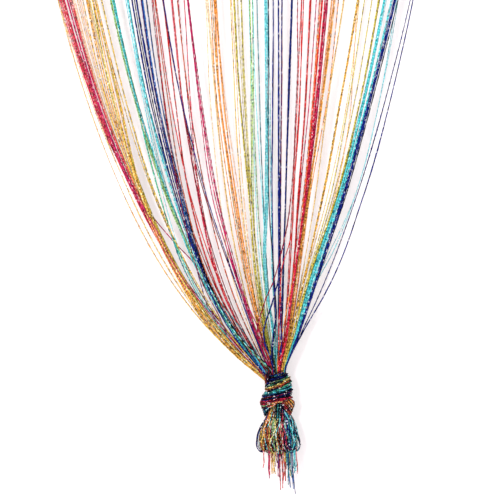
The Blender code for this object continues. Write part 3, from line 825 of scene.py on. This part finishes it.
# The two bulges under the last wrap, where strands turn round to the back: colours from the
# outside in, then the first and last strand's points.
lobes = (
    (("crimson", "crimson", "maroon", "green", "night", "maroon", "night", "teal", "night", "night",
      "blue", "teal", "night", "purple", "teal", "night"),
     ((-3.0, -10.0, -24.0), (-8.5, -9.4, -25.5), (-13.6, -5.2, -27.0), (-16.2, 0.5, -28.0),
      (-12.5, 6.0, -32.0), (-6.0, 8.0, -35.0)),
     ((-5.5, -9.0, -27.0), (-8.6, -7.6, -32.0), (-11.2, -3.6, -37.0), (-12.2, 0.5, -40.0),
      (-10.5, 4.5, -39.0), (-6.0, 6.0, -37.0))),
    (("maroon", "rust", "orange", "gold", "night", "night", "amber", "orange", "night", "maroon",
      "gold", "orange", "night", "night", "gold", "rust", "night", "red", "maroon", "night", "rust",
      "night"),
     ((11.5, -8.6, -20.6), (14.6, -6.4, -22.6), (16.6, -3.2, -25.4), (17.2, 0.5, -29.0),
      (13.0, 6.0, -33.0), (6.0, 8.0, -35.0)),
     ((1.0, -11.4, -23.4), (5.6, -11.2, -29.4), (10.6, -7.6, -36.0), (13.0, 0.0, -40.4),
      (11.0, 4.5, -39.0), (6.0, 6.0, -37.0))),
)

# The outermost strings on the left bend down over the knot's shoulder.
shoulder = ("maroon", "rust", "night", "maroon", "night", "night", "maroon", "night")


def makeLobes():
    for colours, first, last in lobes:
        for layer in range(2):
            for k, colour in enumerate(colours):
                share = k / (len(colours) - 1.0)
                points = np.array(first) * (1.0 - share) + np.array(last) * share
                points = points * np.array([1.0 - 0.09 * layer, 1.0 - 0.16 * layer, 1.0])
                points[1:4] += [[knotChance.uniform(-0.35, 0.35) for _ in range(3)] for _ in range(3)]
                # the inner layer is all near-black, with more painted shade: a dark fill for the shade
                # under the bulges
                shown = "night" if layer else colour
                addKnotStrand("wrap", shown, smoothPath(points, 40), 1.0, 0.16 + 0.4 * layer)
    for k, colour in enumerate(shoulder):
        path = [(-12.6 + 0.75 * k, -3.0 - 0.85 * k, 3.0 + 0.5 * k),
                (-12.0 + 0.55 * k, -4.4 - 0.8 * k, -1.5 + 0.3 * k),
                (-11.8 + 0.5 * k, -5.0 - 0.75 * k, -4.8 + 0.4 * k),
                (-11.4 + 0.5 * k, -3.0, -8.6 + 0.7 * k)]
        addKnotStrand("wrap", colour, smoothPath(path, 22), 1.0, 0.1)


# Tail: its left and right edge and half depth at each drop under the knot's top.
tailDrops = (24.0, 30.0, 37.0, 44.0, 50.0, 56.0, 62.0, 68.0, 72.0, 76.0)
tailLefts = (-2.0, -6.5, -9.6, -12.4, -14.8, -16.0, -16.9, -16.6, -15.4, -12.5)
tailRights = (5.0, 8.5, 12.6, 15.8, 17.6, 18.8, 19.6, 19.6, 18.6, 16.0)
tailDepths = (4.5, 7.4, 9.4, 10.6, 11.6, 12.4, 12.8, 12.6, 11.4, 9.0)

# The tail's colours from left to right: the side that each reaches to, then what lies there.
tailStripes = (
    (-14.0, ("orange", "gold", "night", "peach", "rust")),
    (-11.0, ("paleTurquoise", "rust", "sage", "gold")),
    (-7.0, ("gold", "maroon", "paleGold", "peach", "rust")),
    (2.5, ("sage", "paleOlive", "paleGold", "paleTurquoise", "sage", "paleOlive")),
    (6.0, ("pinkRed", "peach", "salmon", "sage", "maroon")),
    (10.0, ("navy", "night", "crimson", "purple", "blue")),
    (12.5, ("paleTurquoise", "turquoise", "night", "navy")),
    (16.0, ("navy", "teal", "turquoise", "blue", "night")),
    (30.0, ("teal", "turquoise", "night", "navy", "paleTurquoise", "blue")),
)

tail = {
    "shells": ((1.0, 76), (0.84, 34), (0.6, 16)),      # how far out, how many loops
    "wide": 0.8,
    "strayShare": 0.2,
    "strays": ("night", "maroon", "gold", "teal", "night", "rust", "sage", "night", "peach"),
    "bottoms": ("rust", "night", "teal", "maroon", "night", "teal", "rust", "night", "maroon", "teal",
                "night", "maroon", "purple", "night"),
    "fronts": (("teal", 0.5), ("night", 2.0), ("teal", 3.2), ("night", -0.6), ("night", 4.4),
               ("green", 1.2), ("night", -1.6), ("night", 2.7)),
    "steps": 50,
    "bottom": 71.6,
    "turnUnder": 3.2,          # radius of the loops' bend, and how far they go back up
    "back": 14.0,
    "shadow": 0.45,
    "shadowTop": (26.0, 14.0),       # full down to this drop, and gone this much lower
    "shadowBottom": (62.0, 9.0),     # begins at this drop, and is full this much lower
}

# Short strands that show in front under the last wrap: colour, then (side, depth, height). The
# pale peach one is a painted highlight, a pale line where light catches under the wrap.
arcsAndHighlight = (
    ("peach", (-9.4, -10, -27), (-6.6, -13.6, -26.2), (-2, -14.2, -24.8), (3, -13.4, -24),
     (5.6, -10.6, -24.2)),
    ("red", (-10, -9.6, -29), (-7, -12.6, -28.2), (-3, -13.2, -26.4), (1, -12.6, -25), (3, -10, -24.6)),
    ("orange", (-9, -9, -30.4), (-6.2, -12, -29.2), (-3, -12.6, -27.4), (0, -12, -25.8), (2, -9.6, -25)),
)

# Strands that swing out beside the tail: colour, then (side, depth, height) down from the knot.
outliers = (
    ("night", (-7, -3, -34), (-13, -4, -44), (-17.6, -3, -52), (-20.4, -2, -62), (-20.6, -2, -69),
     (-18.2, -2, -74.5), (-14, -1, -76), (-10, 0, -72)),
    ("navy", (-7, -4, -34), (-12.2, -5, -44), (-16.8, -4, -52), (-19.7, -3, -62), (-19.9, -3, -69),
     (-17.6, -3, -74), (-13.6, -2, -75.4), (-9.6, 0, -71.5)),
    ("purple", (-7, 0, -34), (-12.6, -1, -44), (-16.8, -1, -52), (-20, 0, -63), (-20, 0, -70),
     (-17.4, 0, -74.6), (-13.4, 1, -75), (-9, 1, -71)),
    ("night", (-7, 3, -34), (-12, 2, -44), (-15.8, 2, -51), (-18.6, 2, -59), (-19.3, 2, -66),
     (-18, 2, -72), (-14.6, 2, -75.4), (-10, 2, -73)),
    ("paleTurquoise", (-7, 4, -36), (-11.6, 3, -44), (-14.8, 3, -51), (-17.6, 3, -60), (-18, 3, -67),
     (-16, 3, -73), (-12, 3, -75)),
    ("teal", (9, -2, -33), (15, -3, -43), (19.2, -3, -53), (21.6, -2, -62), (22, -2, -69),
     (20.6, -2, -74), (17, -1, -76.4), (12, 0, -73)),
    ("paleTurquoise", (9, 1, -33), (16.4, 1, -43), (19.8, 1, -52), (21, 1, -61), (20.8, 1, -68),
     (19.4, 1, -73), (15, 1, -75)),
    ("night", (9, 3, -33), (14.6, 3, -43), (18.4, 3, -52), (21.6, 3, -60), (23.2, 2, -67), (22.2, 1, -73),
     (18.4, 1, -76), (13, 1, -72)),
    ("purple", (9, 2, -33), (14, 2, -43), (17.8, 2, -52), (21, 2, -60), (22.6, 1, -67), (21.6, 0, -72.4),
     (18, 0, -75.4), (13, 0, -71)),
    ("night", (9, 0, -33), (14.8, -4, -44), (18.2, -6, -54), (20.6, -6, -62), (23.6, -5, -68)),
)


def tailColour(side, k):
    for reach, colours in tailStripes:
        if side < reach:
            return colours[k % len(colours)]
    return "navy"


def tailShadow(drops):
    # painted shade: darker just under the wraps and where the loops turn under
    (top, topOver), (bottom, bottomOver) = tail["shadowTop"], tail["shadowBottom"]
    return tail["shadow"] * (np.clip(1.0 - (drops - top) / topOver, 0.0, 1.0)
                             + np.clip((drops - bottom) / bottomOver, 0.0, 1.0))


def makeTail():
    for out, count in tail["shells"]:
        for k in range(count):
            turn = 2.0 * math.pi * (k + knotChance.uniform(-0.3, 0.3)) / count
            bottom = tail["bottom"] + knotChance.uniform(-2.0, 2.0) - 5.0 * (1.0 - out)
            drops = np.linspace(tailDrops[0], bottom, tail["steps"])
            phase = knotChance.uniform(0.0, 6.3)
            sway = turn + 0.11 * np.sin(drops / 9.0 + phase) + 0.05 * np.sin(drops / 3.7 + 2.0 * phase)
            push = out * (1.0 + 0.035 * np.sin(drops / 6.0 + 3.0 * phase))
            lefts = easeThrough(tailDrops, tailLefts, drops)
            rights = easeThrough(tailDrops, tailRights, drops)
            sides = 0.5 * (lefts + rights) + push * 0.5 * (rights - lefts) * np.cos(sway)
            depths = push * easeThrough(tailDrops, tailDepths, drops) * np.sin(sway)
            path = np.column_stack([sides, depths, -drops])
            # the loop turns under and goes back up inside
            inward = -np.array([np.cos(turn), np.sin(turn) * 0.8, 0.0])
            radius = tail["turnUnder"] * knotChance.uniform(0.7, 1.2)
            bend = np.linspace(0.0, math.pi, 10)[1:, None]
            turned = (1.0 - np.cos(bend)) * inward - np.sin(bend) * np.array([0.0, 0.0, 0.9])
            under = path[-1] + radius * turned
            up = under[-1] + np.linspace(0.0, 1.0, 6)[1:, None] * np.array([0.0, 0.0, tail["back"]])
            middle = 1.3 + 20.0 * math.cos(turn)
            stray = knotChance.random() < tail["strayShare"]
            colour = knotChance.choice(tail["strays"]) if stray else tailColour(middle, k)
            points = np.vstack([path, under, up])
            # painted shade, more on the inner shells
            shadow = tailShadow(-points[:, 2]) + 0.35 * (1.0 - out)
            addKnotStrand("tail", colour, points, tail["wide"], shadow)


def makeTailFront():
    # Dark strands in the middle under the knot, loops that turn to the right along the bottom with painted
    # shade, short strands under the last wrap with a painted highlight among them, and outliers.
    for colour, side in tail["fronts"]:
        low = side + knotChance.uniform(-2.5, 1.0)
        path = smoothPath([(1.5 + 0.3 * side, -8.0, -23.5), (side, -9.8, -28), (low, -10.2, -36),
                           (low - 0.4, -9.4, -44), (low - 0.6, -6.5, -50)], 30)
        addKnotStrand("wrap", colour, path, 1.0, 0.1)
    for k, colour in enumerate(tail["bottoms"]):
        side = -9.0 + 1.5 * k
        drop = knotChance.uniform(-1.6, 1.0)
        path = smoothPath([(side, -7.0, -57 + drop), (side + 0.8, -11.5, -64.5 + drop),
                           (side + 3.2, -11.6, -69.5 + drop), (side + 6.0, -8.5, -72.5 + drop),
                           (side + 7.2, -3.0, -71 + drop)], 34)
        addKnotStrand("tail", colour, path, tail["wide"], 0.55)
    for colour, *points in arcsAndHighlight:
        addKnotStrand("wrap", colour, smoothPath(points, 24), 0.8)
    for colour, *points in outliers:
        addKnotStrand("tail", colour, smoothPath(points, 44), tail["wide"], 0.1)


# Loose ends under the tail: colour, side where it leaves, depth, side of its tip, drop of its tip.
looseEnds = (
    ("salmon", -13.5, -6, -14, 91), ("salmon", -13, -4, -12.8, 86), ("magenta", -8, -8, -7.6, 101),
    ("pinkRed", -7, -7, -7.2, 98), ("pinkRed", -7.5, -5, -8.4, 92), ("gold", -6, -7, -5, 97),
    ("paleGold", -4.5, -8, -3.6, 96), ("gold", -3, -6, -1.8, 97), ("paleGold", -2, -8, -4.4, 93),
    ("orange", -5, -4, -2.6, 95), ("gold", -1.5, -3, -1.2, 90), ("magenta", 1.5, -8, 1, 99),
    ("magenta", 2.6, -7, 2.2, 100), ("crimson", 2, -5, 3.4, 104), ("salmon", 3, -8, 3.4, 112.5),
    ("salmon", 4.2, -7, 5.6, 111), ("pinkRed", 4.6, -5, 6, 107), ("salmon", 6.5, -8, 6.2, 103),
    ("red", 7.5, -7, 8.4, 104), ("orange", 8.2, -5, 7.4, 99), ("teal", 10, -7, 11, 108),
    ("blue", 10.8, -6, 13.2, 110.5), ("blue", 11.4, -3, 10.8, 101), ("olive", 12.4, -6, 13, 99),
    ("paleOlive", 13, -3, 12.2, 94), ("greyNavy", 14.4, -7, 18.2, 116.5), ("blue", 14.8, -5, 16.4, 112),
    ("navy", 15.4, -3, 16.8, 102), ("turquoise", 16.4, -7, 17.4, 96), ("turquoise", 17.2, -6, 18.6, 94),
    ("paleTurquoise", 18, -4, 19.2, 90), ("turquoise", 17.6, -2, 16.4, 92), ("red", 19, -4, 20.4, 97),
    ("rust", -8.6, -6, -8.8, 81), ("maroon", -5, -9, -5.6, 80), ("olive", -3.4, -9, -2.8, 84),
    ("rust", -1, -9, -0.6, 82), ("maroon", 0.4, -6, 0.2, 86), ("purple", 1, -9, 1.6, 91),
    ("night", 3.8, -9, 4, 81), ("rust", 5.4, -9, 5.2, 88), ("olive", 7.6, -9, 8.2, 84),
    ("rust", 8.6, -8, 9, 92), ("teal", 9.2, -9, 9.8, 88), ("teal", 13.4, -8, 14.6, 100),
)


def makeLooseEnds():
    for colour, side, depth, tipSide, tipDrop in looseEnds:
        bow = knotChance.uniform(-0.9, 0.9)
        drops = np.array([64.0, 72.0, 78.0, 0.5 * (78.0 + tipDrop), tipDrop])
        middle = 0.5 * (side + tipSide) + bow
        sides = np.array([side * 0.9, side, side + 0.2 * bow, middle, tipSide])
        depths = np.array([0.6, 0.8, 1.0, 0.95, 0.9]) * depth
        addKnotStrand("end", colour, smoothPath(np.column_stack([sides, depths, -drops]), 34), 0.9)


def makeKnot():
    makeWraps()
    makeLobes()
    makeTail()
    makeTailFront()
    makeLooseEnds()
    for (part, colour), members in knotStrands.items():
        look = yarnMaterial(part + "Yarn_" + colour, colour, part)
        strandPiece(part + "_" + colour, members, look, "knot")
    print("knot", sum(len(members) for members in knotStrands.values()), "strands")


makeKnot()
bpy.data.objects.remove(outline)

# Heading tape and woven edge
tape = {
    "columns": 900,
    "rows": 12,
    "thick": 0.0020,
    "rib": 0.0030,             # pitch of its ribs
    "pick": 0.0022,            # and of the threads across them
    "ribRise": 0.00018,
    "edgeHeight": 0.004,       # the ribs fade out over this
    "seam": 0.0205,            # from the tape's middle to its two lines of stitches
    "stitch": 0.0042,          # pitch of the stitches
    "seamMiddle": 0.025,       # how far the tape's middle is under the top edge
    "warp": (236, 224, 196),
    "edge": (190, 150, 84),
    "thread": (246, 236, 208),
}


def stringColourAt(side):
    nearest = min(stringTops, key=lambda top: abs(top[0] - side))
    colour = linear(yarnColours[nearest[1]][0])
    return tuple(0.7 * value for value in colour[:3]) + (1.0,)


def tapeMaterial():
    made, tree, shader = newMaterial("headingTape")
    where = addNode(tree, "TexCoord").outputs["Object"]
    across, _, up = addNode(tree, "SeparateXYZ", {0: where}).outputs

    def sine(spot, pitch):
        return addMath(tree, "SINE", addMath(tree, "MULTIPLY", spot, 2.0 * math.pi / pitch))

    crossed = addMath(tree, "MULTIPLY", sine(across, tape["rib"]), sine(up, tape["pick"]))
    weave = addMath(tree, "MULTIPLY_ADD", crossed, 0.5, 0.5)
    dye = addNode(tree, "Attribute", attribute_name="dye")
    noise = addNode(tree, "TexNoise", {"Scale": 700.0, "Detail": 3.0, "Vector": where})
    warp = addMix(tree, addMath(tree, "MULTIPLY", noise.outputs["Fac"], 0.35),
                  linear(tape["warp"]), linear(tape["edge"]))
    colour = addMix(tree, addMath(tree, "MULTIPLY_ADD", weave, 0.5, 0.4), warp, dye.outputs["Color"])
    fromMiddle = addMath(tree, "ABSOLUTE", addMath(tree, "ADD", up, tape["seamMiddle"]))
    line = addMath(tree, "COMPARE", fromMiddle, tape["seam"], 0.0006)
    dash = addMath(tree, "GREATER_THAN", sine(across, tape["stitch"]), -0.45)
    stitch = addMath(tree, "MULTIPLY", line, dash)
    relief = addMath(tree, "ADD", weave, addMath(tree, "MULTIPLY", stitch, 1.5))
    bump = addNode(tree, "Bump", {"Strength": 0.6, "Distance": 0.0004, "Height": relief})
    setInputs(tree, shader, {"Base Color": addMix(tree, stitch, colour, linear(tape["thread"])),
                             "Roughness": 0.8, "Sheen Weight": 0.1, "Normal": bump.outputs[0]})
    return made


def makeHeading():
    width = headingHigh[0] - headingLow[0]
    height = headingHigh[2] - headingLow[2]
    clearSelection()
    bpy.ops.mesh.primitive_grid_add(x_subdivisions=tape["columns"], y_subdivisions=tape["rows"], size=1.0,
                                    location=(0.0, 0.0, (headingHigh[2] + headingLow[2]) / 2.0),
                                    rotation=(math.pi / 2.0, 0.0, 0.0))
    piece = bpy.context.object
    piece.name = "headingTape"
    piece.scale = (width, height, 1.0)
    bpy.ops.object.transform_apply(location=True, rotation=True, scale=True)
    for vertex in piece.data.vertices:
        spot = vertex.co
        edge = min(1.0, (headingHigh[2] - spot.z) / tape["edgeHeight"],
                   (spot.z - headingLow[2]) / tape["edgeHeight"])
        ripple = math.sin(spot.x * 2.0 * math.pi / tape["rib"]) * tape["ribRise"] * edge
        spot.y += ripple + 0.00035 * math.sin(spot.x * 31.0 + 1.3) * edge
    solid = piece.modifiers.new("thickness", "SOLIDIFY")
    solid.thickness = tape["thick"]
    solid.offset = 0.0
    bpy.ops.object.modifier_apply(modifier=solid.name)
    pointOutwards()
    bpy.ops.object.shade_smooth_by_angle(angle=math.radians(50.0))
    dye = piece.data.color_attributes.new("dye", "FLOAT_COLOR", "POINT")
    known = {}
    for k, vertex in enumerate(piece.data.vertices):
        key = round(vertex.co.x, 4)
        if key not in known:
            known[key] = stringColourAt(key)
        dye.data[k].color = known[key]
    dress(piece, tapeMaterial(), "heading")
    print("heading tape", len(piece.data.polygons), "faces")


makeHeading()

edgeBraid = {
    "stitches": 300,
    "tube": 0.00055,
    "wide": 0.78,              # half a stitch, of the pitch
    "high": 0.36,              # and of the strip's height
    "lap": 0.0005,             # how far each stitch laps over the next
}


def makeBraid():
    # Chain of small stitches that holds the strings' upper ends.
    chance = random.Random(19)
    middle = stringsHigh[2] - curtain["stripHeight"] / 2.0
    pitch = (headingHigh[0] - headingLow[0] - curtain["stringInset"]) / edgeBraid["stitches"]
    clearSelection()
    bpy.ops.mesh.primitive_torus_add(major_segments=10, minor_segments=5, major_radius=1.0,
                                     minor_radius=edgeBraid["tube"], location=(0.0, 0.0, 0.0))
    model = bpy.context.object
    for vertex in model.data.vertices:
        spot = vertex.co
        over = math.hypot(spot.x, spot.y) - 1.0
        turn = math.atan2(spot.y, spot.x)
        vertex.co = Vector((math.cos(turn) * (pitch * edgeBraid["wide"] + over),
                            spot.z + edgeBraid["lap"] * math.cos(turn),
                            math.sin(turn) * (curtain["stripHeight"] * edgeBraid["high"] + over)))
    pieces = []
    for k in range(edgeBraid["stitches"]):
        copy = addObject("stitch", model.data.copy())
        side = headingLow[0] + curtain["stringInset"] * 0.5 + pitch * (k + 0.5)
        for vertex in copy.data.vertices:
            vertex.co += Vector((side, chance.uniform(-0.00005, 0.00005), middle))
        marks = copy.data.attributes.new("strand", "FLOAT_VECTOR", "POINT")
        marks.data.foreach_set("vector", np.tile([side, chance.random(), chance.random()],
                                                 len(copy.data.vertices)).astype(np.float32))
        pieces.append(copy)
    bpy.data.objects.remove(model)
    clearSelection()
    for copy in pieces:
        copy.select_set(True)
    bpy.context.view_layer.objects.active = pieces[0]
    bpy.ops.object.join()
    piece = bpy.context.object
    piece.name = "edgeBraid"
    pointOutwards()
    bpy.ops.object.shade_smooth()
    dress(piece, yarnMaterial("braidYarn", "paleGold", "braid"), "strings")
    print("edge braid", len(piece.data.polygons), "faces")


makeBraid()

# Stage, light and camera
stage = {
    "wallBehind": 0.024,
    "floorUnder": 0.080,
    "size": 6.0,
    "worldLight": 1.22,
    "keyPower": 30.0,
    "keyPlace": (-0.95, -2.2, 0.5),      # from the middle of the photograph
    "keySize": 0.35,
    "lens": 85.0,
    "sensor": 36.0,
    "photoWidth": 0.70,        # metres that the photograph's frame spans
    "photoMiddle": (0.0276, -1.7077),
}


def stageMaterial(name, shade, glow, throughBack):
    made, tree, shader = newMaterial(name)
    noise = addNode(tree, "TexNoise", {"Scale": 6.0, "Detail": 2.0})
    tone = addMix(tree, noise.outputs["Fac"], (shade, shade * 0.94, shade * 0.96, 1.0),
                  (shade * 0.995, shade * 0.935, shade * 0.955, 1.0))
    setInputs(tree, shader, {"Base Color": tone, "Roughness": 1.0, "Specular IOR Level": 0.0,
                             "Emission Color": (1.0, 0.985, 0.985, 1.0), "Emission Strength": glow})
    if throughBack:
        clear = addNode(tree, "BsdfTransparent")
        facing = addNode(tree, "NewGeometry")
        mixed = addNode(tree, "MixShader", {0: facing.outputs["Backfacing"], 1: shader.outputs[0],
                                            2: clear.outputs[0]})
        tree.links.new(mixed.outputs[0], tree.nodes["Material Output"].inputs[0])
    return made


def addPlane(name, location, rotation, material):
    clearSelection()
    bpy.ops.mesh.primitive_plane_add(size=stage["size"], location=location, rotation=rotation)
    plane = bpy.context.object
    plane.name = name
    plane.data.materials.append(material)


def makeStage():
    low = knotLow[2] - stage["floorUnder"]
    addPlane("floor", (0.0, 0.0, low), (0.0, 0.0, 0.0), stageMaterial("floorPale", 0.74, 0.1, False))
    addPlane("wall", (0.0, stage["wallBehind"], low + stage["size"] / 2.0), (math.pi / 2.0, 0.0, 0.0),
             stageMaterial("wallPale", 0.60, 0.42, True))


def makeLights():
    scene = bpy.context.scene
    scene.world = bpy.data.worlds.new("studio")
    scene.world.use_nodes = True
    tree = scene.world.node_tree
    path = addNode(tree, "LightPath")
    strength = addMath(tree, "MULTIPLY_ADD", path.outputs["Is Camera Ray"],
                       1.0 - stage["worldLight"], stage["worldLight"])
    setInputs(tree, tree.nodes["Background"], {0: (1.0, 1.0, 1.0, 1.0), 1: strength})
    target = Vector((stage["photoMiddle"][0], 0.0, stage["photoMiddle"][1]))
    lamp = bpy.data.lights.new("keyLight", "AREA")
    lamp.energy = stage["keyPower"]
    lamp.size = stage["keySize"]
    holder = addObject("keyLight", lamp)
    holder.location = target + Vector(stage["keyPlace"])
    holder.rotation_euler = (target - holder.location).to_track_quat("-Z", "Y").to_euler()
    scene.view_settings.view_transform = "Standard"


def makeCamera():
    lens = bpy.data.cameras.new("camera")
    lens.lens = stage["lens"]
    lens.sensor_width = stage["sensor"]
    holder = addObject("camera", lens)
    away = stage["lens"] / stage["sensor"] * stage["photoWidth"]
    holder.location = (stage["photoMiddle"][0], -away, stage["photoMiddle"][1])
    holder.rotation_euler = (math.pi / 2.0, 0.0, 0.0)
    bpy.context.scene.camera = holder


makeStage()
makeLights()
makeCamera()
print("stage set")
